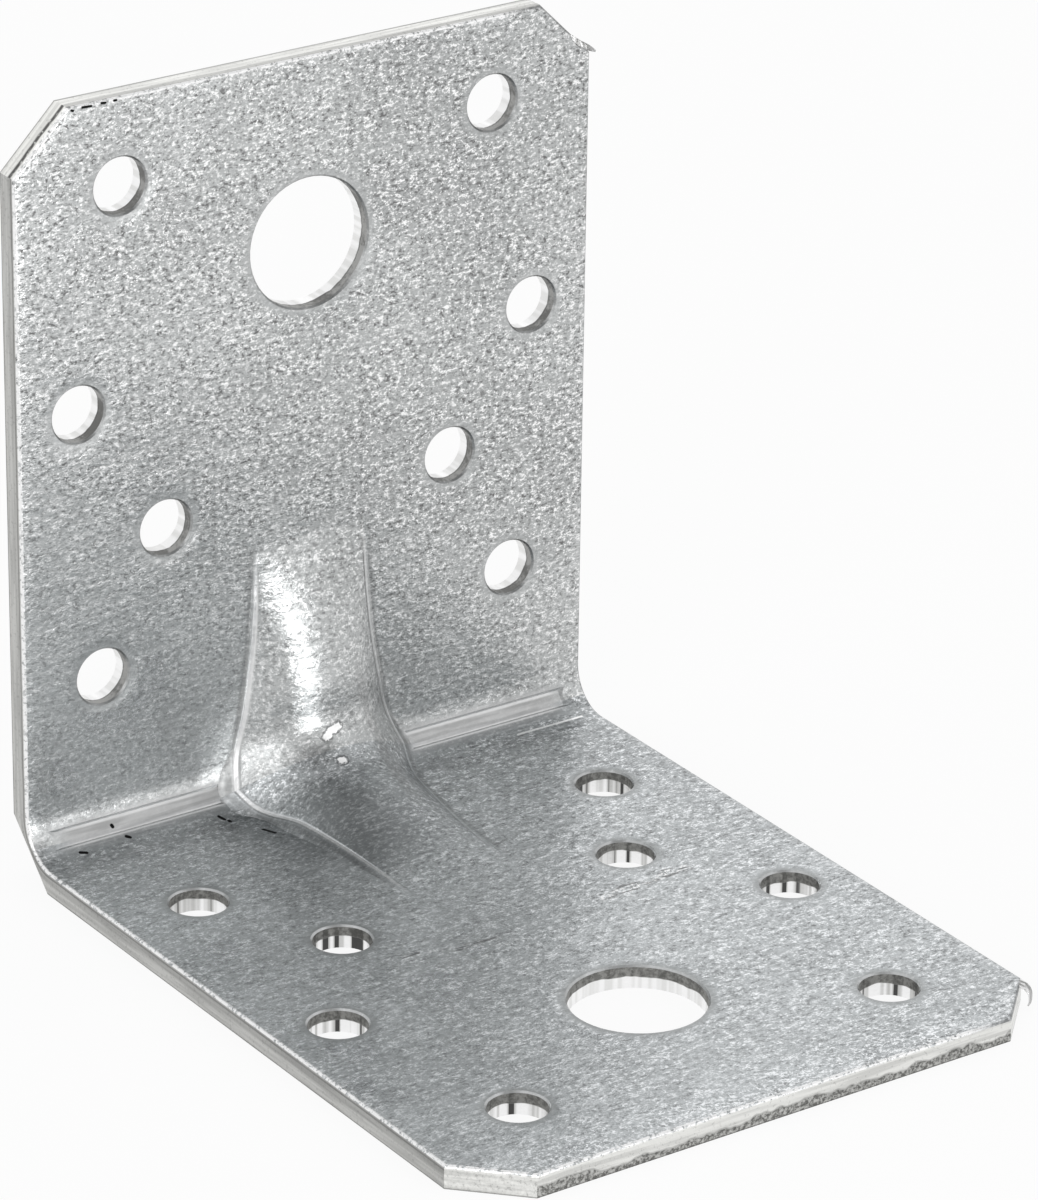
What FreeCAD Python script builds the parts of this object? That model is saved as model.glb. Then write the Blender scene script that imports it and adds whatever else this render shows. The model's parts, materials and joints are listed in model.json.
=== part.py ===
import FreeCAD, Part
import math
import os
from FreeCAD import Vector

# Reinforcing angle: one strip of zinc-coated steel, punched flat, folded square,
# with a stiffening rib pressed across the middle of the fold.
# X runs along the fold. The back leg stands at +Y and its inner side looks to -Y.
# The foot lies on Z = 0. The origin is the middle of the floor of the outer box.

# Driving sizes of the strip, in mm
sheet = 2.0
width = 55.0
back_height = 66.0
foot_length = 68.0
fold_radius = 3.5
corner_cut = 5.0
edge_roll = 0.3

# Holes, the same in both legs but for the bolt hole and the free margin.
# Each row of nail holes is a pair, set in from the two side edges.
# The end row keeps to the free end, the bolt hole to the end row, the others to the heel.
nail_hole = 4.8
bolt_hole = 11.2
hole_roll = 0.15
end_row_edge = 9.75
second_row_edge = 5.6
third_row_edge = 13.65
fold_row_edge = 7.5
heel_to_fold_row = 16.4
row_pitch = 11.75
back_margin = 7.5
foot_margin = 9.5
back_bolt_setback = 8.5
foot_bolt_setback = 9.2

# Pressed rib, raised on the inner side and hollow on the outer side.
# Its crest leaves each leg in a soft run-out, climbs straight and levels off at the fold,
# where the rib is widest.
rib_reach = 24.0
rib_height = 4.6
rib_crest_radius = 4.5
rib_back_run_out = 3.5
rib_foot_run_out = 12.0
rib_level_off = 8.0
rib_end_half = 5.3
rib_fold_half = 8.8
rib_flare = 2.5
rib_end_fullness = 0.8
rib_fold_fullness = 0.5
rib_toe = 0.8
rib_sink = 0.08
rib_stations = 19

# Marks of the press in the fold: a flat coined strip with sloping borders,
# which lies a little towards the back leg, and ends drawn in at the heel
mark_half = 0.7
mark_depth = 0.05
mark_stop = 2.5
mark_rise = 1.0
mark_spread = 1.0
mark_fade = 5.0
mark_turn = math.radians(40.0)
heel_pull = 1.2

# Distance by which a cutting tool stands clear of the sheet
clear = 3.0

# Derived sizes
half = width / 2
heel_y = foot_length / 2
fold_outer = fold_radius + sheet
diagonal = math.sqrt(0.5)
heel_to_centre = fold_outer / diagonal
heel_to_inner = heel_to_centre - fold_radius
heel_to_outer = heel_to_centre - fold_outer
heel_land = 2 * edge_roll
depth_tolerance = edge_roll / 100
right_angle = math.pi / 2
full_turn = 360


def place(x, out, up):
    """Point at x along the fold, out from the back leg's outer side, up from the floor."""
    return Vector(x, heel_y - out, up)


def on_back(x, along, depth):
    """Point in the back leg: along from the heel, depth from its outer side."""
    return place(x, depth, along)


def on_foot(x, along, depth):
    """Point in the foot: along from the heel, depth from its outer side."""
    return place(x, along, depth)


legs = (
    (on_back, back_height, back_margin, back_bolt_setback),
    (on_foot, foot_length, foot_margin, foot_bolt_setback),
)


def line(start, end):
    return Part.makeLine(start, end)


def arc(start, middle, end):
    return Part.Arc(start, middle, end).toShape()


def closed_face(edges):
    return Part.Face(Part.Wire(Part.__sortEdges__(edges)))


def polygon_face(points):
    return Part.Face(Part.makePolygon(points + points[:1]))


def fold_arc(radius):
    """Quarter circle of the fold at the left end, from the back leg round to the foot."""
    waist = fold_outer - radius * diagonal
    return arc(
        place(-half, fold_outer - radius, fold_outer),
        place(-half, waist, waist),
        place(-half, fold_outer, fold_outer - radius),
    )


def folded_strip():
    """The strip in its folded section, drawn along the whole width."""

    def spot(out, up):
        return place(-half, out, up)

    outline = [
        fold_arc(fold_outer),
        line(spot(fold_outer, 0), spot(foot_length, 0)),
        line(spot(foot_length, 0), spot(foot_length, sheet)),
        line(spot(foot_length, sheet), spot(fold_outer, sheet)),
        fold_arc(fold_radius),
        line(spot(sheet, fold_outer), spot(sheet, back_height)),
        line(spot(sheet, back_height), spot(0, back_height)),
        line(spot(0, back_height), spot(0, fold_outer)),
    ]
    return closed_face(outline).extrude(Vector(width, 0, 0))


def corner_wedge(leg, length, side):
    """Tool that cuts one free corner off at 45 degrees."""
    reach = corner_cut + clear
    triangle = [
        leg(side * (half - reach), length + clear, -clear),
        leg(side * (half + clear), length + clear, -clear),
        leg(side * (half + clear), length - reach, -clear),
    ]
    through = leg(0, 0, sheet + clear) - leg(0, 0, -clear)
    return polygon_face(triangle).extrude(through)


def skin_depth(point):
    """Depth of a point below the outer side of the folded strip."""
    out = heel_y - point.y
    up = point.z
    if out < fold_outer and up < fold_outer:
        return fold_outer - math.hypot(fold_outer - out, fold_outer - up)
    return min(out, up)


def inner_rim(strip):
    """Edges that bound the inner side of the strip, where the punch rolls them over."""
    inner_faces = [
        face for face in strip.Faces
        if all(abs(skin_depth(corner.Point) - sheet) < depth_tolerance for corner in face.Vertexes)
    ]
    edges = [edge for face in inner_faces for edge in face.Edges]
    return [edge for edge in edges if sum(edge.isSame(other) for other in edges) == 1]


def heel_wedge(side):
    """Tool for the drawn-in end of the fold: deepest at the heel, nothing near the inner side."""
    top = heel_to_inner - heel_land
    slope = heel_pull / (top - heel_to_outer)
    outline = [
        (half, top),
        (half - slope * (top + clear), -clear),
        (half + clear, -clear),
        (half + clear, top),
    ]
    across = Vector(0, 1, 1) * fold_outer
    points = [place(side * x, run * diagonal, run * diagonal) - across for x, run in outline]
    return polygon_face(points).extrude(2 * across)


def coined_strip():
    """Flat-faced bar that leaves the shallow coined strip in the fold, with sloping sides and ends."""

    def loop(reach, half_long, half_wide):
        def spot(along, across):
            return place(
                along,
                fold_outer - reach * math.cos(mark_turn) + across * math.sin(mark_turn),
                fold_outer - reach * math.sin(mark_turn) - across * math.cos(mark_turn),
            )

        corners = [
            spot(-half_long, -half_wide),
            spot(half_long, -half_wide),
            spot(half_long, half_wide),
            spot(-half_long, half_wide),
        ]
        return Part.makePolygon(corners + corners[:1])

    reach = fold_radius + mark_depth
    stop = half - mark_stop
    return Part.makeLoft([
        loop(reach, stop, mark_half),
        loop(reach - mark_rise, stop + mark_fade, mark_half + mark_spread),
    ], True, True)


def punched_hole(leg, x, along, diameter):
    """Tool for one punched hole: straight wall, rim drawn in by the punch on the inner side."""
    radius = diameter / 2
    mouth = radius + hole_roll
    wall_top = sheet - hole_roll
    below = -clear
    above = sheet + clear

    def spot(out, depth):
        return leg(x + out, along, depth)

    profile = polygon_face([
        spot(0, below),
        spot(radius, below),
        spot(radius, wall_top),
        spot(mouth, sheet),
        spot(mouth, above),
        spot(0, above),
    ])
    return profile.revolve(spot(0, 0), spot(0, sheet) - spot(0, 0), full_turn)


def leg_holes(leg, length, margin, bolt_setback):
    """All the holes of one leg: staggered pairs of nail holes and one bolt hole."""
    end_row = length - margin
    rows = (
        (end_row_edge, end_row),
        (second_row_edge, heel_to_fold_row + 2 * row_pitch),
        (third_row_edge, heel_to_fold_row + row_pitch),
        (fold_row_edge, heel_to_fold_row),
    )
    holes = [punched_hole(leg, 0, end_row - bolt_setback, bolt_hole)]
    for edge, along in rows:
        holes += [punched_hole(leg, side * (half - edge), along, nail_hole) for side in (-1, 1)]
    return holes


# The rib is lofted through stations, planes that fan out round one line parallel to the fold.
# A turn is a station's angle from the nearer leg, up to 45 degrees at the fold.
# The end stations lie where the crest has sunk below the sheet's inner side.
fan = sheet + rib_reach

# Share of the two middle poles in the crest of a six-pole cubic
crest_weight = 15 / 16

# Small turn over which the crest's lean is measured
lean_step = 0.001


def base_depth(turn, depth, radius):
    """Distance from the fan line to a strip's side that lies at a depth and is folded round a radius."""
    to_centre = fan - depth - radius
    if turn < math.atan2(to_centre, to_centre + radius):
        return (to_centre + radius) / math.cos(turn)
    lean = to_centre * (math.cos(turn) + math.sin(turn))
    return lean + math.sqrt(lean ** 2 - 2 * to_centre ** 2 + radius ** 2)


def eased(run, ease):
    """Height of a line that starts level and bends up to a full slope within an ease's length."""
    bend = min(max(run, 0), ease)
    return bend ** 2 / (2 * ease) + max(run - ease, 0)


def crest_depth(turn, run_out):
    """Distance from the fan line to the rib's crest, which climbs from its run-out to the fold."""
    run = rib_reach * math.tan(turn)
    climb = eased(run, run_out) - eased(run - rib_reach + rib_level_off, rib_level_off)
    full_climb = rib_reach - (run_out + rib_level_off) / 2
    lift = (rib_height + rib_sink) * climb / full_climb
    return base_depth(turn, sheet, rib_crest_radius) + rib_sink - lift


def behind_crest(turn, run_out, skin):
    """Distance from the fan line to the sheet a skin's thickness behind the crest."""
    crest = crest_depth(turn, run_out)
    rise = crest_depth(turn + lean_step, run_out) - crest_depth(turn - lean_step, run_out)
    lean = rise / (2 * lean_step * crest)
    return crest + skin * math.hypot(1, lean)


def between(end, fold, share):
    return end + (fold - end) * share


def rib_section(angle, base, crest, half_width, fullness, floor):
    """Closed hump in one station plane: rounded toes sunk below the base, and a full crest."""
    toe = half_width + rib_toe
    toe_depth = base + rib_sink
    swell = half_width * fullness
    pull = base + (crest - base) / crest_weight

    def spot(x, depth):
        return place(x, fan - depth * math.cos(angle), fan - depth * math.sin(angle))

    hump = Part.BSplineCurve()
    hump.buildFromPoles([
        spot(-toe, toe_depth),
        spot(-half_width, base),
        spot(-swell, pull),
        spot(swell, pull),
        spot(half_width, base),
        spot(toe, toe_depth),
    ])
    return Part.Wire([
        hump.toShape(),
        line(spot(toe, toe_depth), spot(toe, floor)),
        line(spot(toe, floor), spot(-toe, floor)),
        line(spot(-toe, floor), spot(-toe, toe_depth)),
    ])


def rib_form(skin, floor_depth):
    """Solid of the rib's form, a skin's thickness behind its raised side."""
    sections = []
    for station in range(rib_stations):
        angle = right_angle * station / (rib_stations - 1)
        turn = min(angle, right_angle - angle)
        run_out = rib_back_run_out if turn == angle else rib_foot_run_out
        share = math.tan(turn)
        base = base_depth(turn, sheet - skin, fold_radius + skin)
        crest = behind_crest(turn, run_out, skin)
        half_width = between(rib_end_half, rib_fold_half, share ** rib_flare)
        fullness = between(rib_end_fullness, rib_fold_fullness, share)
        flank = math.atan2(base - crest, half_width * (1 - fullness))
        half_width -= skin * math.tan(flank / 2)
        sections.append(rib_section(angle, base, crest, half_width, fullness, base + floor_depth))
    return Part.makeLoft(sections, True, False)


strip = folded_strip()
strip = strip.cut([corner_wedge(leg, length, side) for leg, length, *rest in legs for side in (-1, 1)])
strip = strip.makeFillet(edge_roll, inner_rim(strip))
strip = strip.cut([heel_wedge(-1), heel_wedge(1), coined_strip()])

ridge = rib_form(skin=0, floor_depth=sheet / 2)
hollow = rib_form(skin=sheet, floor_depth=clear)
holes = [hole for leg in legs for hole in leg_holes(*leg)]
angle_plate = strip.fuse(ridge).cut([hollow] + holes).removeSplitter()

os.makedirs("parts", exist_ok=True)
angle_plate.exportStep("parts/angle_plate.step")
print("solids:", len(angle_plate.Solids), "valid:", angle_plate.isValid())
print("volume in mm3:", round(angle_plate.Volume, 1))
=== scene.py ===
# %% [markdown]
# A reinforcing angle, folded from one strip of zinc-coated steel.
# The packed model already has the right shape, so this lesson is mostly about the finish:
# a speckled zinc coat, sheared walls with two zones, a burnished strip in the fold, and a few burrs.
# The model is loaded first and kept as it is, because everything else is placed by it.

# %% Load the packed angle
import json
import math

import bmesh
import bpy
from mathutils import Matrix, Vector


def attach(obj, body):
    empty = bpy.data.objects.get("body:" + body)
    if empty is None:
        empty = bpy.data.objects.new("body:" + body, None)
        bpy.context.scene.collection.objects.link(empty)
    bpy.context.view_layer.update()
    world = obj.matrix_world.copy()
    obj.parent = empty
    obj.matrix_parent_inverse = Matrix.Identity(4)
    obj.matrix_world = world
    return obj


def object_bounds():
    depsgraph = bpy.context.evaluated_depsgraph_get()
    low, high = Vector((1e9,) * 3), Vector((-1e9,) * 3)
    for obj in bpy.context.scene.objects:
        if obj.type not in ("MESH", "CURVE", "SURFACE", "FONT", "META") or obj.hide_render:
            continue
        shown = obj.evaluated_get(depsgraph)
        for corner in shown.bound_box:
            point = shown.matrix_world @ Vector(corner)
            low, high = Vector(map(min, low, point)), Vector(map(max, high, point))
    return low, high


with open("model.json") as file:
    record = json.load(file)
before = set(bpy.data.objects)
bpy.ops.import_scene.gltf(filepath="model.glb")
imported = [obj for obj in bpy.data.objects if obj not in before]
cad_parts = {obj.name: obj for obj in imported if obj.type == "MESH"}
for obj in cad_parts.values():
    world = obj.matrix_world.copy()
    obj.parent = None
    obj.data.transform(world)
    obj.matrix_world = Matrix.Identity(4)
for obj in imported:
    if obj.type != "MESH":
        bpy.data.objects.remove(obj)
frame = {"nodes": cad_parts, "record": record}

cad_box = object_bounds()
plate = frame["nodes"]["angle_plate"]
mm = 0.001
print("angle plate:", len(plate.data.polygons), "triangles")
print("box in mm:", [round(side / mm, 2) for side in cad_box[1] - cad_box[0]])

# %% [markdown]
# The camera comes early, because every later cell is judged through it.
# Its turn, tilt, distance and lens were found by matching the holes and corners with the photograph.
# A long lens far away keeps the edges nearly parallel, as in the picture, and no shift is needed.

# %% Camera at the photograph's angle
turn, tilt, roll = (math.radians(angle) for angle in (-34.863, 24.422, 0.787))
aim_right, aim_up, distance = 18.667 * mm, 15.956 * mm, 544.904 * mm
focal_pixels, image_height = 6471.09, 1200
heel = Vector((0, cad_box[1].y, 0))

back = Vector((math.sin(turn) * math.cos(tilt), -math.cos(turn) * math.cos(tilt), math.sin(tilt)))
right = Matrix.Rotation(roll, 3, back) @ Vector((math.cos(turn), math.sin(turn), 0))
up = back.cross(right)

lens = bpy.data.cameras.new("camera")
lens.sensor_width = 36
lens.lens = focal_pixels * lens.sensor_width / image_height
lens.clip_start, lens.clip_end = 0.01, 20
camera = bpy.data.objects.new("camera", lens)
bpy.context.scene.collection.objects.link(camera)
stand_point = heel + aim_right * right + aim_up * up + distance * back
camera.matrix_world = Matrix.Translation(stand_point) @ Matrix((right, up, back)).transposed().to_4x4()
bpy.context.scene.camera = camera
print("lens:", round(lens.lens, 1), "mm, camera at", [round(v, 3) for v in stand_point])

# %% [markdown]
# A finish is a tree of nodes. Wiring them by hand in the node editor works too,
# but a recipe in code can be read line by line.
# This small class starts a material and adds nodes to it. A feed is a number or another node's output.

# %% A short way to add nodes


class Tree:
    """One material and its tree of nodes."""

    def __init__(self, name):
        self.material = bpy.data.materials.new(name)
        self.material.use_nodes = True
        self.tree = self.material.node_tree
        self.shader = self.tree.nodes["Principled BSDF"]

    def node(self, kind, feeds, **dials):
        made = self.tree.nodes.new(kind)
        for dial, setting in dials.items():
            setattr(made, dial, setting)
        for key, value in feeds.items():
            self.feed(made.inputs[key], value)
        return made

    def feed(self, socket, value):
        if isinstance(value, bpy.types.NodeSocket):
            self.tree.links.new(value, socket)
        else:
            socket.default_value = value


print("ready, a tree:", Tree.__doc__)

# %% [markdown]
# Most nodes of a finish do plain arithmetic, with numbers or with places in space.
# Each sum is two or three lines with the nodes' own names, so a short word for each saves many lines.

# %% Words for sums


class Sums(Tree):
    """A tree with a short word for each kind of sum."""

    def sum(self, operation, first, *others):
        """Joins two or more values with the same operation. Plain numbers are multiplied at once."""
        values = (first, *others)
        if operation == "MULTIPLY" and all(isinstance(value, (int, float)) for value in values):
            return math.prod(values)
        for other in others:
            first = self.node("ShaderNodeMath", {0: first, 1: other}, operation=operation).outputs[0]
        return first

    def plus(self, *values):
        return self.sum("ADD", *values)

    def less(self, *values):
        return self.sum("SUBTRACT", *values)

    def times(self, *values):
        return self.sum("MULTIPLY", *values)

    def least(self, *values):
        return self.sum("MINIMUM", *values)

    def most(self, *values):
        return self.sum("MAXIMUM", *values)

    def plain(self, value):
        """The value without its sign."""
        return self.node("ShaderNodeMath", {0: value}, operation="ABSOLUTE").outputs[0]

    def vector(self, x, y, z):
        return self.node("ShaderNodeCombineXYZ", {0: x, 1: y, 2: z}).outputs[0]

    def parts(self, vector):
        return self.node("ShaderNodeSeparateXYZ", {0: vector}).outputs

    def length(self, a, b):
        """Length of the slanted line with sides a and b."""
        slant = self.vector(a, b, 0)
        return self.node("ShaderNodeVectorMath", {0: slant}, operation="LENGTH").outputs["Value"]

    def scaled(self, vector, factor):
        feeds = {0: vector, "Scale": factor}
        return self.node("ShaderNodeVectorMath", feeds, operation="SCALE").outputs[0]

    def vector_sum(self, operation, a, b):
        """A sum of two vectors. Dot product and distance come out as one number."""
        outputs = self.node("ShaderNodeVectorMath", {0: a, 1: b}, operation=operation).outputs
        return outputs["Value"] if operation in ("DOT_PRODUCT", "DISTANCE") else outputs[0]


print("ready, the sums:", Sums.__doc__)

# %% [markdown]
# The last words are a painter's: soft borders, soft lines, mixtures and cloudy noise.
# A colour ramp could draw the borders too, but a step from one length to another
# can be read in millimetres. Then the plate's own recipe is started.

# %% Words for painting


class Recipe(Sums):
    """A finish, with a short word for each way to paint."""

    def step(self, value, low, high):
        """Goes softly from 0 at low to 1 at high."""
        feeds = {"Value": value, "From Min": low, "From Max": high}
        return self.node("ShaderNodeMapRange", feeds, interpolation_type="SMOOTHSTEP").outputs[0]

    def line(self, value, middle, half):
        """A soft line: 1 where the value is at the middle, 0 from half away."""
        return self.step(self.plain(self.less(value, middle)), half, self.times(half, 0.3))

    def mix(self, share, a, b):
        return self.node("ShaderNodeMix", {0: share, 2: a, 3: b}).outputs[0]

    def tint(self, share, a, b):
        return self.node("ShaderNodeMix", {0: share, 6: a, 7: b}, data_type="RGBA").outputs[2]

    def noise(self, where, grain, detail=2.0, rough=0.5):
        """Cloudy noise whose patches are about one grain wide, in the units of where."""
        feeds = {"Vector": where, "Scale": 1 / grain, "Detail": detail, "Roughness": rough}
        return self.node("ShaderNodeTexNoise", feeds).outputs[0]


def grey(level, warmth=0.0):
    """A grey. Above 0 the warmth takes out some blue, and below 0 some red."""
    return (level * (1 + min(warmth, 0)), level, level * (1 - max(warmth, 0)), 1)


zinc = Recipe("zinc_steel")
print("recipe started:", zinc.material.name)

# %% [markdown]
# The finish has to know where on the strip a point lies. A texture map could hold that, but the strip is
# so simple that a few sums on the point's place do it, and they fit exactly.
# All lengths are in millimetres from the heel, as a sheet-metal worker would measure.
# Depth is 0 on the outer side and 2 on the inner side, also round the fold.

# %% Where a point lies on the strip
sheet, fold_outer = 2.0, 5.5
half_width, heel_y, back_height = (side / mm for side in cad_box[1])
foot_length = heel_y - cad_box[0].y / mm

place = zinc.node("ShaderNodeTexCoord", {}).outputs
where = zinc.scaled(place["Object"], 1 / mm)
x, y, z = zinc.parts(where)
out = zinc.less(heel_y, y)
side = zinc.plain(x)
on_back = zinc.node("ShaderNodeMath", {0: z, 1: out}, operation="GREATER_THAN").outputs[0]
along = zinc.mix(on_back, out, z)
below_fold = zinc.most(zinc.less(fold_outer, out), 0.0)
before_fold = zinc.most(zinc.less(fold_outer, z), 0.0)
depth = zinc.less(fold_outer, zinc.length(below_fold, before_fold))
print("strip:", round(2 * half_width), "wide, legs", round(back_height), "and", round(foot_length), "mm")

# %% [markdown]
# Three kinds of surface meet on the plate: the coated sides, the sheared outer walls and the hole walls.
# A wall is found by its direction, because it stands square to the sheet. At the ends of the fold, where
# the bending drew the outer side in, the wall leans, so there a wider range of directions counts.
# The faces could be picked by hand, but the mesh is packed anew now and then, so a rule is safer.
# The distance to the nearest edge is kept, because shearing draws the sheet down beside a cut.

# %% Walls and edges
corner_cut = 5.0
direction = zinc.parts(place["Normal"])
facing = zinc.mix(on_back, zinc.plain(direction["Z"]), zinc.plain(direction["Y"]))
across = zinc.plain(direction["X"])
in_fold = zinc.times(
    zinc.step(zinc.least(below_fold, before_fold), 0.02, 0.10), zinc.step(depth, 1.8, 1.6))
drawn_in = zinc.times(zinc.step(across, 0.5, 0.65), in_fold)
wall = zinc.most(zinc.step(facing, 0.5, 0.2), drawn_in)
to_end = zinc.less(zinc.mix(on_back, foot_length, back_height), along)
to_side = zinc.less(half_width, side)
to_corner = zinc.times(zinc.less(zinc.plus(to_end, to_side), corner_cut), math.sqrt(0.5))
to_edge = zinc.least(to_end, to_side, to_corner)
print("corners cut off by", corner_cut, "mm")

# %% [markdown]
# Each leg has one bolt hole and eight nail holes. Their places could be typed in once more,
# but the packed record already has them, and there they stay true.
# Left and right mirror each other, so one side is enough.

# %% Holes


def leg_holes(leg):
    """Half spacing, distance from the heel and radius of each hole of a leg, in mm."""
    for mount in frame["record"]["mounts"]:
        if mount["name"].startswith(leg) and mount["kind"] != "flat_face":
            sizes, spot = mount["dims"], Vector(mount["pos_m"]) / mm
            run = spot.z if leg == "back" else heel_y - spot.y
            yield sizes.get("spacing_x_mm", 0) / 2, run, sizes.get("r_mm", sizes.get("hole_r_mm"))


def hole_distance():
    """Distance from the nearest hole's wall. The legs' rows pair up, so one sum serves both."""
    gaps = []
    for (off, foot_run, radius), (_, back_run, _) in zip(leg_holes("foot"), leg_holes("back")):
        run = zinc.mix(on_back, foot_run, back_run)
        gaps.append(zinc.less(zinc.length(zinc.less(side, off), zinc.less(along, run)), radius))
    return zinc.least(*gaps)


to_hole = hole_distance()
in_hole = zinc.step(to_hole, 0.6, 0.4)
print("hole rows of the back leg:", [(off, round(run, 2), r) for off, run, r in leg_holes("back")])

# %% [markdown]
# The stiffening rib has a clear crease along each side, where the press pinched the sheet.
# The crease follows the rib's own outline: narrow at the ends and flaring towards the fold.
# So the distance from that outline is worked out here with the same flare that the rib was made with.
# A narrow line of it is pinched and gets a painted highlight, and a painted shade line runs outside it.
# On the foot's left the crease lies a little inwards.

# %% Creases beside the rib
rib_end_half, rib_fold_half, rib_flare, rib_fan = 5.3, 8.8, 2.5, 26.0
on_foot = zinc.less(1.0, on_back)
left_hand = zinc.step(x, 3.0, -3.0)
flare = zinc.most(zinc.times(zinc.less(rib_fan, along), 1 / (rib_fan - sheet)), 0.0)
flare_power = zinc.node("ShaderNodeMath", {0: flare, 1: rib_flare}, operation="POWER").outputs[0]
rib_half = zinc.plus(rib_end_half, zinc.times(flare_power, rib_fold_half - rib_end_half))
rib_gap = zinc.less(side, rib_half)
rib_run = zinc.step(along, rib_fan - 0.5, rib_fan - 6.0)
left_shift = zinc.times(left_hand, on_foot, zinc.step(along, 4.0, 10.0), 0.5)
pinch_gap = zinc.plus(rib_gap, left_shift)
crease = zinc.times(zinc.line(pinch_gap, 0.0, zinc.mix(on_back, 0.22, 0.28)), rib_run)
crease_shade = zinc.times(zinc.line(pinch_gap, 0.5, 0.34), rib_run)
print("rib outline from", rib_end_half, "to", rib_fold_half, "mm")

# %% [markdown]
# The zinc coat is matt grey and finely bumpy, drawn out a little along the fold by the rolling mill.
# An image would do for one view, but layers of noise hold at any distance.
# Broad clouds come first, then patches, then grains and crumbs. The long threads are marks of the rolls.

# %% Noises of the zinc coat
drawn = zinc.vector(zinc.times(x, 0.6), y, z)
threaded = zinc.vector(zinc.times(x, 0.06), y, z)
cloud_size, patch_size, grain_size, crumb_size, thread_size = 9.0, 1.3, 0.36, 0.34, 0.30
clouds = zinc.noise(where, cloud_size, detail=1.0)
patches = zinc.noise(drawn, patch_size, detail=2.0, rough=0.6)
grains = zinc.noise(drawn, grain_size, detail=2.0, rough=0.9)
crumbs = zinc.noise(where, crumb_size, detail=2.0, rough=0.7)
threads = zinc.noise(threaded, thread_size, detail=1.0)
print("coat: grains", grain_size, "mm, patches", patch_size, "mm, clouds", cloud_size, "mm")

# %% [markdown]
# The grain bites hardest near the back leg's free end. Where a tool has pressed, by the holes,
# the creases and the fold, it is flattened. On the rib's foot side a spot is painted dark, a painted
# reflection, and its grain is flattened too.
# Such zones could be painted as a mask, but all the distances are at hand, so each is one short line.

# %% Where the coat is pressed
fold_line = zinc.times(zinc.less(out, z), math.sqrt(0.5))
by_fold = zinc.times(
    zinc.step(zinc.plain(fold_line), 1.7, 1.2), zinc.step(rib_gap, -0.4, 0.4), zinc.step(to_side, 1.4, 2.4))
by_crease = zinc.times(zinc.line(pinch_gap, 0.1, 0.5), rib_run)
by_hole = zinc.step(to_hole, 1.0, 0.3)
pressed = zinc.most(by_hole, by_crease, by_fold)
foot_bite = zinc.mix(zinc.step(x, -20.0, 20.0), 0.8, 1.0)
back_bite = zinc.mix(zinc.step(zinc.plus(z, zinc.times(x, 0.5)), 0.0, 36.0), 0.6, 1.2)
patch_bite = zinc.mix(zinc.step(patches, 0.3, 0.6), 0.6, 1.0)
dark_spot_middle = (-3.0, 19.5, 3.5)
# This spot is painted dark as a painted reflection, and its grain is flattened.
painted_dark_spot = zinc.step(zinc.vector_sum("DISTANCE", where, dark_spot_middle), 8.0, 2.5)
flattened = zinc.most(zinc.times(pressed, 0.65), zinc.times(painted_dark_spot, 0.5))
bite = zinc.times(zinc.mix(on_back, foot_bite, back_bite), patch_bite, zinc.less(1.0, flattened))
print("middle of the painted dark spot:", dark_spot_middle, "mm")

# %% [markdown]
# The colours lie over each other from broad to fine: a painted light patch on the back leg's left and
# painted shade on the foot by the fold, then the grain's dark specks and white sparks, which also paint
# shade in its pits and highlights on its hills, then painted glints and scratches.
# One colour ramp could give all that at once, but layers can be tuned one by one.
# The foot has a slightly bluer cast than the back leg.

# %% Colours of the zinc coat
# The grain's light and dark are its own tone, and they also paint shade in its pits and highlights on its
# hills.
sparks = zinc.times(zinc.step(grains, 0.52, 0.66), bite)
specks = zinc.times(zinc.step(grains, 0.48, 0.34), bite)
# Glints are painted highlights, denser by the foot's front edge, where the rolled rim catches the light.
front_glint_zone = zinc.times(zinc.step(to_end, 5.0, 1.0), on_foot)
glint_level = zinc.plus(crumbs, zinc.times(front_glint_zone, 0.06))
foot_glints = zinc.mix(front_glint_zone, 0.6, 1.0)
glints = zinc.times(zinc.step(glint_level, 0.615, 0.66), bite, zinc.mix(on_back, foot_glints, 1.0))
scratches = zinc.step(threads, 0.64, 0.74)
clouded = zinc.tint(zinc.step(clouds, 0.3, 0.7), grey(0.44, -0.026), grey(0.51, -0.024))
# The back leg's left part is painted lighter, a painted highlight.
left_lit = zinc.tint(zinc.times(zinc.step(x, 6.0, -24.0), on_back, 0.28), clouded, grey(0.72, -0.02))
# The foot near the fold and the dark spot on the rib's foot side are painted darker: painted shade and
# painted reflection.
bend_shade = zinc.times(zinc.step(along, 20.0, 5.0), on_foot, 0.35)
shade_painted = zinc.tint(zinc.most(bend_shade, zinc.times(painted_dark_spot, 0.6)), left_lit, grey(0.27, -0.03))
darkened = zinc.tint(zinc.times(specks, 0.85), shade_painted, grey(0.18))
sparkling = zinc.tint(zinc.times(sparks, 0.9), darkened, grey(1.0))
glinting = zinc.tint(zinc.times(glints, 0.85), sparkling, grey(1.0))
scratched = zinc.tint(zinc.times(scratches, 0.2), glinting, grey(0.85))
cast = zinc.tint(on_back, (0.98, 1.0, 1.02, 1), grey(1.0))
coat = zinc.vector_sum("MULTIPLY", scratched, cast)
print("coat laid:", len(zinc.tree.nodes), "nodes so far")

# %% [markdown]
# In the fold the press has burnished a strip on each side of the rib: smooth, finely lined along the fold,
# with a painted highlight along each border and a thin painted shade line where the foot begins.
# The rib's right flank turns away from the light, and a soft painted shade line runs down it.
# A second material could carry the strip, but its borders are soft, so it is a layer over the coat.

# %% Burnished strip and creases
strip_end = 25.7
strip_run = zinc.times(zinc.step(side, strip_end, strip_end - 2.5), zinc.step(rib_gap, 0.2, 2.0))
in_strip = zinc.times(zinc.line(fold_line, -0.3, 1.4), strip_run)
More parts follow.
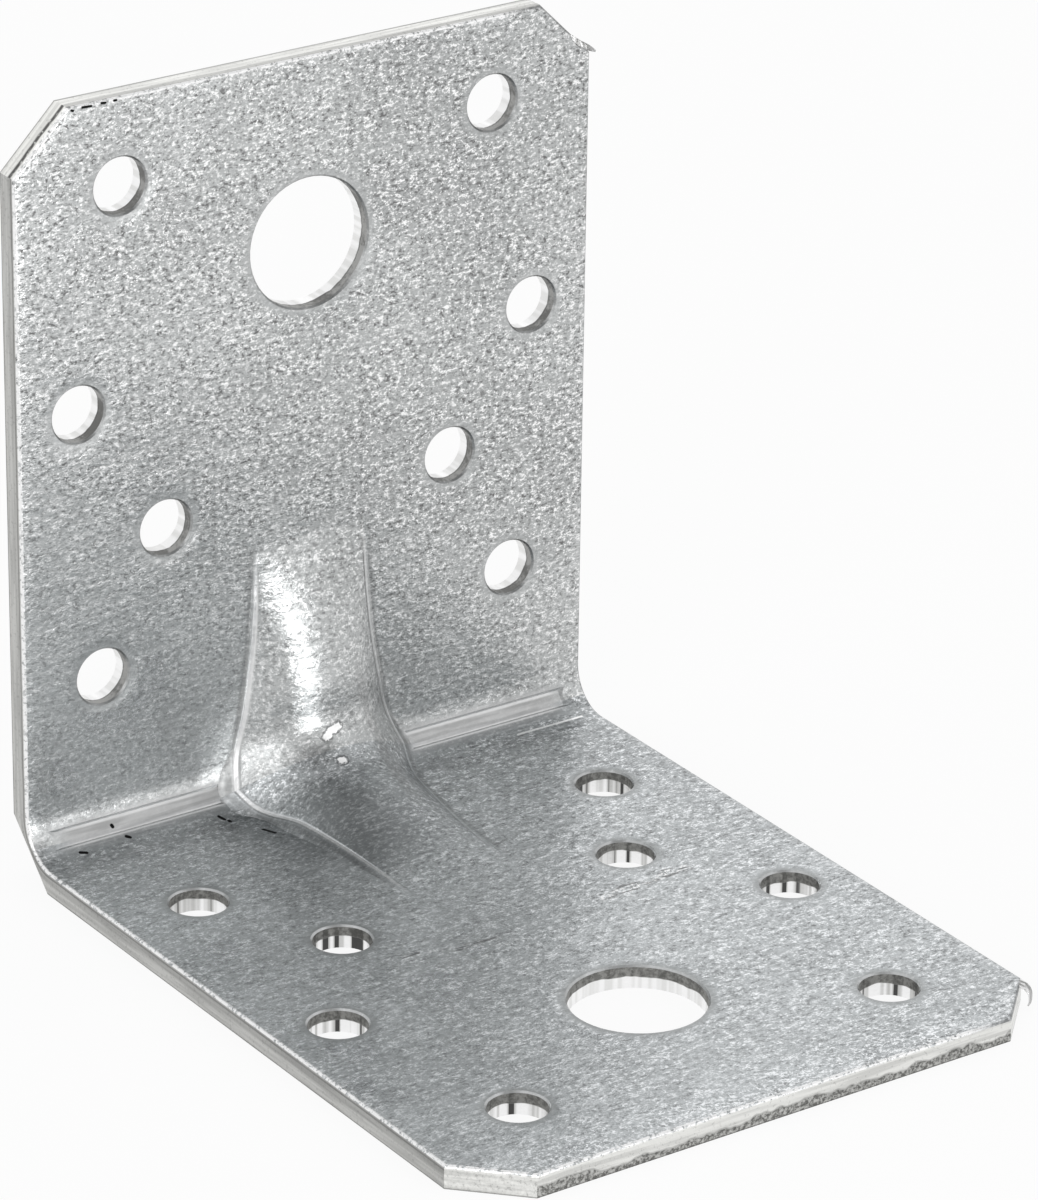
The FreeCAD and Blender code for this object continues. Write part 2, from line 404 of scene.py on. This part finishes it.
# The strip's borders get painted highlights, and a painted shade line runs below the strip.
strip_highlights = zinc.most(zinc.line(fold_line, -0.95, 0.25), zinc.line(fold_line, 0.5, 0.3))
strip_shade = zinc.times(zinc.line(fold_line, 0.95, 0.4), strip_run)
# A painted shade line runs down the rib's right flank.
flank = zinc.times(zinc.line(rib_gap, -2.9, 0.9), zinc.step(x, 1.0, 3.0), zinc.step(along, 16.0, 9.0))
fine_lines = zinc.tint(zinc.step(threads, 0.35, 0.65), grey(0.40), grey(0.54))
flanked = zinc.tint(zinc.times(flank, 0.35), coat, grey(0.25))
rubbed = zinc.tint(zinc.times(in_strip, 0.75), flanked, fine_lines)
strip_highlighted = zinc.tint(zinc.times(strip_highlights, strip_run, 0.5), rubbed, grey(0.95))
shaded = zinc.tint(zinc.times(zinc.most(strip_shade, crease_shade), 0.35), strip_highlighted, grey(0.15))
# The pinched crease gets a painted highlight, strongest on the left.
crease_light = zinc.mix(left_hand, zinc.mix(on_back, 0.06, 0.25), zinc.mix(on_back, 0.5, 0.65))
crease_lit = zinc.tint(zinc.times(crease, crease_light), shaded, grey(0.92))
print("strip ends", round(half_width - strip_end, 1), "mm from the sides")

# %% [markdown]
# The rolled rim of the sheared edges gets a painted highlight in dots, except on the right,
# where a painted shade line lies instead. A band beside the edges is painted a little lighter, a painted
# sheen of the rolled sheet. A hole has a faint painted highlight on its rim in a dark ring on the foot,
# and a painted shade rim on the back leg. Such marks can be taken from a mesh's curvature,
# but that needs very small faces, so here they follow the distance from the edge.

# %% Painted light and shade on the rims
lit_rim_width = 0.34
right_hand = zinc.step(x, 18.0, 22.0)
dotted = zinc.step(crumbs, 0.38, 0.50)
# The dotted rim gets a painted highlight, and on the right a painted shade line takes its place.
lit_rim = zinc.times(zinc.step(to_edge, lit_rim_width, 0.22), dotted, zinc.less(1.0, right_hand))
shaded_rim = zinc.times(zinc.step(to_edge, 0.24, 0.10), right_hand)
# The lighter band beside the edges is a painted sheen.
rim_sheen = zinc.times(zinc.step(to_edge, 1.4, 0.3), zinc.step(grains, 0.36, 0.60))
# The hole rim is a painted highlight on the foot and painted shade on the back leg.
hole_rim = zinc.step(to_hole, 0.20, 0.10)
rim_sheened = zinc.tint(zinc.times(rim_sheen, 0.12), crease_lit, grey(0.85))
lit_rims = zinc.most(zinc.times(lit_rim, 0.9), zinc.times(hole_rim, on_foot, 0.25))
shaded_rims = zinc.most(zinc.times(shaded_rim, 0.6), zinc.times(hole_rim, on_back, 0.45))
hole_ring = zinc.times(zinc.step(to_hole, 1.0, 0.1), on_foot, 0.35)
ringed = zinc.tint(hole_ring, rim_sheened, grey(0.16, 0.06))
edged = zinc.tint(shaded_rims, zinc.tint(lit_rims, ringed, grey(0.95)), grey(0.10))
print("rim highlights painted over", lit_rim_width, "mm")

# %% [markdown]
# A shear first slides through the sheet and leaves a smooth wall. Then the rest breaks away roughly.
# The outline was cut from the inner side, so the smooth zone lies there and the broken zone behind it.
# The foot's front edge broke in a wandering line,
# and the back leg's cut corners have a dark line beside the rim.
# The zones could be painted on, but the depth in the sheet is known at every point, so they follow from it.
# A wall's own direction tells the sides, the ends and the cut corners apart.

# %% Zones of the outer walls
through = zinc.vector(x, zinc.mix(on_back, y, 0.0), zinc.mix(on_back, 0.0, z))
wander = zinc.noise(through, 3.0, detail=2.0, rough=0.6)
at_end = zinc.step(across, 0.45, 0.25)
at_corner = zinc.times(zinc.step(across, 0.84, 0.78), zinc.less(1.0, zinc.most(at_end, drawn_in)))
shallow_break, deep_break = 0.45, 1.05
above_break = zinc.less(depth, zinc.mix(zinc.step(wander, 0.3, 0.7), shallow_break, deep_break))
end_break = zinc.times(zinc.step(above_break, 0.06, -0.06), on_foot, at_end)
break_line = zinc.times(zinc.line(above_break, 0.04, 0.12), on_foot, at_end)
by_rim = zinc.step(depth, 0.85, 1.15)
rim_line_depth = zinc.plus(1.1, zinc.times(wander, 0.5))
rim_line = zinc.times(zinc.line(depth, rim_line_depth, 0.3), zinc.step(crumbs, 0.3, 0.45))
print("the front edge breaks at a depth of", shallow_break, "to", deep_break, "mm")

# %% [markdown]
# The walls are painted lighter or darker by the way they face, as painted light and shade over their zones:
# the side walls are the darkest, the ends and the cut corners lighter.
# On all of them faint lines run along the edge. Each could be drawn as a scratch,
# but a noise stretched along the edge gives hundreds of them at once.
# A painted contact shadow line marks the far rim and, on the sides, a dark line the near one.

# %% Colours of the outer walls
edgewise = zinc.vector(zinc.times(x, 0.05), zinc.times(along, 0.05), depth)
wall_lines = zinc.step(zinc.noise(edgewise, 0.32, detail=1.0, rough=0.6), 0.35, 0.65)
# The levels are partly the shear zones and partly painted light and shade by the way each wall faces.
side_level = zinc.mix(on_back, zinc.mix(by_rim, 0.45, 0.34), zinc.mix(by_rim, 0.48, 0.42))
corner_level = zinc.mix(on_back, zinc.mix(crumbs, 0.5, 0.95), zinc.mix(rim_line, 0.85, 0.12))
end_level = zinc.mix(on_back, 0.71, zinc.mix(zinc.step(depth, 1.1, 1.5), 0.82, 0.5))
level = zinc.mix(at_end, zinc.mix(at_corner, side_level, corner_level), end_level)
specked = zinc.mix(zinc.step(crumbs, 0.42, 0.34), 1.0, 0.8)
lined = zinc.times(level, zinc.mix(wall_lines, 0.88, 1.12), specked)
sheared = zinc.vector(lined, lined, zinc.times(lined, 0.97))
end_rough = zinc.tint(zinc.step(crumbs, 0.38, 0.64), grey(0.14, 0.05), grey(0.5, 0.03))
outer_walls = zinc.tint(end_break, sheared, end_rough)
broken_walls = zinc.tint(zinc.times(break_line, 0.35), outer_walls, grey(0.12, 0.04))
# The far rim's dark line is a painted contact shadow.
contact_shadow_depth = zinc.mix(zinc.times(at_end, on_back), 0.16, 0.36)
outline = zinc.most(
    zinc.step(depth, contact_shadow_depth, zinc.times(contact_shadow_depth, 0.3)),
    zinc.times(zinc.line(depth, 1.62, 0.12), zinc.step(across, 0.84, 0.9)))
outlined = zinc.tint(zinc.times(outline, 0.6), broken_walls, grey(0.10, 0.05))
print("outer walls laid:", len(zinc.tree.nodes), "nodes so far")

# %% [markdown]
# The holes were punched from the outer side. There the punch left burnished streaks, straight through the
# sheet, so that noise ignores the depth; their bright tone is partly painted reflection. The last part,
# beside the inner rim, tore away dull, brown-grey on the foot. In the foot's nail holes black bars stand
# in the bright zone, and on the back leg a thin dark line parts the two zones.

# %% Walls of the punched holes
streaks = zinc.noise(through, 0.75, detail=1.5)
bright_depth, bright_wander = 0.7, 0.7
zone_gap = zinc.less(depth, zinc.plus(bright_depth, zinc.times(wander, bright_wander)))
hole_bright = zinc.step(zone_gap, 0.05, -0.05)
zone_line = zinc.times(zinc.line(zone_gap, 0.04, 0.12), zinc.step(crumbs, 0.36, 0.50), on_back, 0.6)
foot_nails = zinc.times(zinc.step(side, 6.5, 8.0), on_foot)
streaked = zinc.step(zinc.plus(zinc.times(streaks, 0.4), zinc.times(crumbs, 0.6)), 0.38, 0.62)
patchy = zinc.step(zinc.plus(wander, zinc.times(crumbs, 0.4)), 0.60, 0.80)
back_torn = zinc.tint(patchy, grey(0.20, 0.03), grey(0.42, 0.02))
foot_torn = zinc.tint(streaked, grey(0.14, 0.05), grey(0.30, 0.04))
torn = zinc.tint(on_back, foot_torn, back_torn)
bright_low = zinc.tint(foot_nails, grey(0.80, 0.01), grey(0.55, 0.02))
# The bright zone is burnished, and its bright streaks are partly painted reflection.
burnished_and_mirrored = zinc.tint(zinc.step(streaks, 0.42, 0.58), bright_low, grey(0.95))
bars = zinc.times(zinc.step(streaks, 0.43, 0.40), foot_nails, zinc.mix(hole_bright, 0.15, 0.9))
zoned = zinc.tint(zone_line, zinc.tint(hole_bright, torn, burnished_and_mirrored), grey(0.06))
hole_wall = zinc.tint(bars, zoned, grey(0.02))
walls = zinc.tint(in_hole, outlined, hole_wall)
broken = zinc.mix(in_hole, end_break, zinc.less(1.0, hole_bright))
print("the bright zone of the hole walls is about", round(bright_depth + bright_wander / 2, 2), "mm deep")

# %% [markdown]
# The plate has seen some handling: black flecks near the left end of the fold and at the top left edge,
# two bright chips on the rib's crest, each with a thin painted shadow round it, and a scratch beside the
# right strip.
# The upper chip is made of two dashes. Two scuffs run across the foot.
# All this could be painted on an image, but a few short dashes stay sharp at any distance.
# Each is set on the surface at a place read off the photograph.

# %% Places of the marks
flecks = [
    ((-19.9, 31.2, 3.2), (-19.86, 31.12, 3.1)), ((-19.13, 30.16, 2.4), (-18.87, 29.94, 2.4)),
    ((-23.70, 29.91, 2.25), (-23.21, 29.69, 2.25)), ((-10.56, 29.59, 2.1), (-10.34, 29.01, 2.1)),
    ((-10.1, 28.72, 2.0), (-10.1, 28.48, 2.0)), ((-8.6, 25.83, 2.0), (-8.12, 24.77, 2.0)),
]
rim_flecks = [
    ((-21.1, 32.0, 65.74), (-20.3, 32.0, 65.7)), ((-19.35, 32.0, 65.76), (-19.0, 32.0, 65.72)),
    ((-22.1, 32.0, 65.68), (-21.95, 32.0, 65.62)), ((-18.2, 32.0, 65.74), (-18.0, 32.0, 65.74)),
]
chips = [
    ((-0.35, 28.3, 7.85), (0.45, 28.4, 8.05)), ((-0.9, 28.2, 7.5), (-0.6, 28.22, 7.65)),
    ((-0.4, 26.55, 5.85), (-0.2, 26.55, 5.85)),
]
scratch = ((19.2, 29.15, 2.07), (25.8, 29.15, 2.07))
scuffs = [((8.0, 0.25, 2.0), (16.1, 1.1, 2.0)), ((-11.0, 0.4, 2.0), (-4.0, -0.9, 2.0))]
print(
    "marks:", len(flecks + rim_flecks), "flecks,", len(chips), "chip dashes,",
    len(scuffs), "scuffs, 1 scratch")

# %% [markdown]
# Flecks are black. The chips and the scratch are white, because bare metal shows there.
# In the scuffs the threads of the coat stand out light and dark.
# The distance from a dash needs only a few vector sums, so a dozen of them cost little.

# %% Colours of the marks


def from_dash(start, end):
    """Distance in mm from a straight dash."""
    run = Vector(end) - Vector(start)
    offset = zinc.vector_sum("SUBTRACT", where, start)
    share = zinc.vector_sum("DOT_PRODUCT", offset, run / run.length_squared)
    held = zinc.node("ShaderNodeClamp", {"Value": share}).outputs[0]
    return zinc.vector_sum("DISTANCE", offset, zinc.scaled(run, held))


def from_dashes(dashes):
    """Distance in mm from the nearest of several dashes."""
    return zinc.least(*(from_dash(*dash) for dash in dashes))


to_fleck = from_dashes(flecks)
to_chip = zinc.plus(from_dashes(chips), zinc.times(zinc.less(0.5, crumbs), 0.6))
to_rim_fleck = from_dashes(rim_flecks)
in_fleck = zinc.most(zinc.step(to_fleck, 0.19, 0.13), zinc.step(to_rim_fleck, 0.13, 0.08))
in_chip = zinc.step(to_chip, 0.36, 0.26)
# The thin dark rim round each chip is a painted shadow.
chip_shadow = zinc.line(to_chip, 0.42, 0.12)
in_scratch = zinc.step(from_dash(*scratch), 0.14, 0.08)
to_scuff = zinc.plus(from_dashes(scuffs), zinc.times(zinc.less(0.5, patches), 2.5))
in_scuff = zinc.step(to_scuff, 0.7, 0.2)
scuff_dark = zinc.times(zinc.step(threads, 0.54, 0.46), in_scuff, zinc.step(patches, 0.42, 0.50), 0.8)
scuff_glint = zinc.mix(zinc.step(x, -6.0, 6.0), 0.3, 0.8)
scuff_light = zinc.times(zinc.step(crumbs, 0.52, 0.58), in_scuff, scuff_glint)
bright_marks = zinc.most(zinc.times(zinc.most(in_chip, in_scratch), 0.9), scuff_light)
marked = zinc.tint(bright_marks, edged, grey(1.0))
scuffed = zinc.tint(scuff_dark, marked, grey(0.12))
flecked_and_shadowed = zinc.tint(zinc.most(in_fleck, zinc.times(chip_shadow, 0.5)), scuffed, grey(0.01))
print("marks laid:", len(zinc.tree.nodes), "nodes so far")

# %% [markdown]
# Colour alone would look painted. Height bends the light at the edges and makes the grains glitter.
# The sheet dips towards sheared edges and holes, is pinched at the creases,
# and swells beside the rib near the fold.
# All heights are true millimetres, so the slopes are real ones.

# %% Height and gloss
front_roll = zinc.times(on_foot, zinc.step(to_end, 5.0, -1.0))
dip_gap = zinc.least(to_side, to_corner, zinc.plus(to_end, zinc.times(on_foot, 2.0)))
side_dip, front_dip, hole_dip, swell_rise, pinch = 0.08, 0.25, 0.08, 0.42, -0.06
edge_dip = zinc.plus(
    zinc.times(zinc.step(dip_gap, 1.2, -0.4), side_dip), zinc.times(front_roll, front_dip),
    zinc.times(zinc.step(to_hole, 1.4, -0.4), hole_dip))
swell_gap = zinc.plus(zinc.most(rib_gap, 0.0), zinc.times(zinc.less(along, 4.0), 0.35))
swell = zinc.times(zinc.step(swell_gap, 4.0, -1.5), on_back)
fine_end = zinc.times(zinc.step(z, 24.0, 36.0), on_back)
coat_height = zinc.plus(
    zinc.times(swell, swell_rise), zinc.times(crease, pinch), zinc.times(patches, 0.05),
    zinc.times(zinc.plus(grains, zinc.times(crumbs, 0.33)), bite, zinc.mix(fine_end, 0.06, 0.042)))
wall_height = zinc.plus(0.06, zinc.times(grains, 0.04))
height = zinc.less(zinc.mix(wall, coat_height, wall_height), edge_dip)
bump = zinc.node("ShaderNodeBump", {"Height": height, "Distance": mm, "Strength": 1.0})
coat_gloss = zinc.mix(pressed, zinc.mix(clouds, 0.24, 0.34), zinc.mix(in_strip, 0.32, 0.42))
wall_gloss = zinc.mix(broken, 0.3, 0.55)
print("height: the sides dip", side_dip, "mm, the front edge", front_dip, "mm")

# %% [markdown]
# All the layers meet in one shader. Zinc and steel are metals, so it is fully metallic.
# Separate materials for the coat and the walls would need a mesh with its faces sorted.
# One material with a wall share leaves the packed mesh as it is.

# %% Put the finish on the plate
zinc.feed(zinc.shader.inputs["Base Color"], zinc.tint(wall, flecked_and_shadowed, walls))
zinc.feed(zinc.shader.inputs["Roughness"], zinc.mix(wall, coat_gloss, wall_gloss))
zinc.feed(zinc.shader.inputs["Normal"], bump.outputs[0])
zinc.shader.inputs["Metallic"].default_value = 1.0
plate.material_slots[0].material = zinc.material
print("finish on the plate:", len(zinc.tree.nodes), "nodes")

# %% [markdown]
# Two shreds of torn metal hang on the corners: a small sliver at the top right cut,
# and a hook at the foot's right corner.
# A particle system could scatter burrs, but these two have their own shapes.
# Each is a thin ribbon skinned over a few stations, a little wavy, so that it looks torn and not cut.

# %% Torn burrs


def ribbon(name, stations, thick):
    """A thin strip through stations, each with one point on either side of the strip."""
    shape = bmesh.new()
    rings = []
    last = len(stations) - 1
    wave_height, wave_turn = 1.5, 2.1
    for index, (one, other) in enumerate(stations):
        one, other = Vector(one) * mm, Vector(other) * mm
        ahead = Vector(stations[min(index + 1, last)][0]) - Vector(stations[max(index - 1, 0)][0])
        lift = ahead.cross(other - one).normalized() * thick * mm / 2
        ridge = (one + other) / 2 + lift * wave_height * math.sin(index * wave_turn)
        upper = [point + lift for point in (one, ridge, other)]
        lower = [point - lift for point in (other, ridge, one)]
        rings.append([shape.verts.new(point) for point in upper + lower])
    for ring, following in zip(rings, rings[1:]):
        for corner in range(len(ring)):
            beside = (corner + 1) % len(ring)
            shape.faces.new((ring[corner], ring[beside], following[beside], following[corner]))
    shape.faces.new(rings[0][::-1])
    shape.faces.new(rings[-1])
    bmesh.ops.recalc_face_normals(shape, faces=shape.faces)
    mesh = bpy.data.meshes.new(name)
    shape.to_mesh(mesh)
    shape.free()
    piece = bpy.data.objects.new(name, mesh)
    bpy.context.scene.collection.objects.link(piece)
    rounding = piece.modifiers.new("rounding", "SUBSURF")
    rounding.levels = rounding.render_levels = 2
    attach(piece, "root")
    return piece


top_sliver = ribbon("top_sliver", [
    ((25.6, 32.05, 62.95), (25.3, 32.1, 62.9)), ((26.2, 31.95, 62.4), (25.8, 32.0, 62.1)),
    ((26.8, 31.75, 62.05), (26.5, 31.8, 61.55)), ((27.1, 31.5, 61.85), (27.0, 31.55, 61.35)),
    ((27.3, 31.2, 61.6), (27.25, 31.25, 61.3)), ((27.4, 31.0, 61.45), (27.38, 31.05, 61.35))], 0.08)
foot_hook = ribbon("foot_hook", [
    ((27.44, -28.6, 1.9), (26.9, -29.3, 1.9)), ((27.44, -29.4, 1.9), (26.4, -29.9, 1.88)),
    ((27.44, -30.0, 1.86), (26.5, -30.4, 1.8)), ((27.42, -30.4, 1.65), (26.8, -30.7, 1.55)),
    ((27.4, -30.55, 1.2), (26.9, -30.75, 1.1)), ((27.38, -30.5, 0.7), (26.95, -30.7, 0.65)),
    ((27.35, -30.35, 0.3), (27.05, -30.5, 0.25)), ((27.3, -30.25, 0.1), (27.15, -30.35, 0.08))], 0.14)
print("burrs:", [(piece.name, len(piece.data.polygons)) for piece in (top_sliver, foot_hook)])

# %% [markdown]
# Torn metal is bright along its folds and dull in its streaks.
# Painting that by hand is hardly worth it at this size,
# so one stretched noise drives colour, gloss and height.

# %% Torn finish
shred = Recipe("torn_zinc")
shred_place = shred.node("ShaderNodeTexCoord", {}).outputs["Object"]
tears_per_metre = (4000, 1500, 700)
stretched = shred.vector_sum("MULTIPLY", shred_place, tears_per_metre)
tears = shred.noise(stretched, 1.0, detail=3.0)
torn_share = shred.step(tears, 0.3, 0.7)
shred.feed(shred.shader.inputs["Base Color"], shred.tint(torn_share, grey(0.25, 0.02), grey(0.85)))
shred.feed(shred.shader.inputs["Roughness"], shred.mix(torn_share, 0.45, 0.25))
shred_bump = shred.node("ShaderNodeBump", {"Height": tears, "Distance": 0.1 * mm, "Strength": 0.6})
shred.feed(shred.shader.inputs["Normal"], shred_bump.outputs[0])
shred.shader.inputs["Metallic"].default_value = 1.0
for burr in (top_sliver, foot_hook):
    burr.data.materials.append(shred.material)
print("torn finish:", len(shred.tree.nodes), "nodes")

# %% [markdown]
# The set is a plain white sweep, and its floor is a pale sheet a hair below the foot.
# For the camera and in reflections it is mostly white by itself, and the rest of it keeps the soft shadow.
# A shadow catcher would do too, but then something white has to be laid behind it afterwards.

# %% Floor
reach, floor_gap = 3.0, 0.02 * mm
floor_mesh = bpy.data.meshes.new("floor")
floor_corners = [(-reach, -reach, 0), (reach, -reach, 0), (reach, reach, 0), (-reach, reach, 0)]
floor_mesh.from_pydata(floor_corners, [], [(0, 1, 2, 3)])
floor = bpy.data.objects.new("floor", floor_mesh)
floor.location.z = cad_box[0].z - floor_gap
bpy.context.scene.collection.objects.link(floor)

pale = Recipe("pale_floor")
pale.shader.inputs["Base Color"].default_value = grey(0.85)
pale.shader.inputs["Roughness"].default_value = 1.0
pale.shader.inputs["Specular IOR Level"].default_value = 0.0
rays = pale.node("ShaderNodeLightPath", {}).outputs
seen = pale.most(rays["Is Camera Ray"], rays["Is Glossy Ray"], rays["Is Transmission Ray"])
white = pale.node("ShaderNodeEmission", {"Color": grey(1.0), "Strength": 1.0}).outputs[0]
white_share = 0.9
shares = {0: pale.times(seen, white_share), 1: pale.shader.outputs[0], 2: white}
blend = pale.node("ShaderNodeMixShader", shares)
pale.tree.links.new(blend.outputs[0], pale.tree.nodes["Material Output"].inputs[0])
floor_mesh.materials.append(pale.material)
print("floor", round(floor_gap / mm, 2), "mm below the foot")

# %% [markdown]
# The world is white with one dim spot high in front, as in a small photo tent with an open flap.
# The rib's foot side mirrors that spot by way of the back leg, which makes it dark, and a painted dark spot
# adds to it.
# A dark card hung there would do the same, but it would also shade the floor.

# %% World


def toward(heading, rise):
    """Direction seen from the angle: heading in degrees from the front to the right, rise in degrees."""
    side_way, climb = math.radians(heading), math.radians(rise)
    flat = math.cos(climb)
    return Vector((math.sin(side_way) * flat, -math.cos(side_way) * flat, math.sin(climb)))


world = bpy.data.worlds.new("white_room")
world.use_nodes = True
sky = world.node_tree.nodes
sky["Background"].inputs["Color"].default_value = grey(1.0)
way = sky.new("ShaderNodeTexCoord")
nearness = sky.new("ShaderNodeVectorMath")
nearness.operation = "DOT_PRODUCT"
spot_heading, spot_rise = 7, 62
nearness.inputs[1].default_value = toward(spot_heading, spot_rise)
dimming = sky.new("ShaderNodeMapRange")
spot_border, spot_core, room_light, spot_light = 0.88, 0.98, 0.92, 0.38
dimming.inputs["From Min"].default_value = spot_border
dimming.inputs["From Max"].default_value = spot_core
dimming.inputs["To Min"].default_value = room_light
dimming.inputs["To Max"].default_value = spot_light
world.node_tree.links.new(way.outputs["Generated"], nearness.inputs[0])
world.node_tree.links.new(nearness.outputs["Value"], dimming.inputs["Value"])
world.node_tree.links.new(dimming.outputs[0], sky["Background"].inputs["Strength"])
bpy.context.scene.world = world
bpy.context.scene.view_settings.view_transform = "Standard"
print("world: light", room_light, "all round, and", spot_light, "in the spot")

# %% [markdown]
# Metal shows what stands round it, so the lamps are panels, placed where the photograph's glare points.
# Point lamps would leave hard dots instead. One panel low in front lights the rib's crest,
# one on the left its flank, one on the right the strip in the fold,
# and one high behind the rolled front edge.

# %% Softboxes


def softbox(name, heading, rise, away, wide, high, glow):
    """A panel that faces the angle, at a heading and rise in degrees. Glow is its brightness."""
    lamp = bpy.data.lights.new(name, "AREA")
    lamp.shape = "RECTANGLE"
    lamp.size, lamp.size_y = wide, high
    lamp.energy = glow * wide * high * math.pi
    ray = toward(heading, rise)
    panel = bpy.data.objects.new(name, lamp)
    panel.location = ray * away
    panel.rotation_euler = ray.to_track_quat("Z", "Y").to_euler()
    bpy.context.scene.collection.objects.link(panel)
    return panel


panels = [
    softbox("front_panel", 3, 7, 0.22, 0.09, 0.055, 5.6),
    softbox("left_panel", -58, 28, 0.7, 0.35, 0.35, 1.2),
    softbox("right_panel", 40, 32, 0.8, 0.50, 0.40, 0.3),
    softbox("high_panel", 143, 34, 0.8, 0.40, 0.20, 0.3),
]
print("panels:", [panel.name for panel in panels])

# %% [markdown]
# The burrs and the finish must not make the part larger.
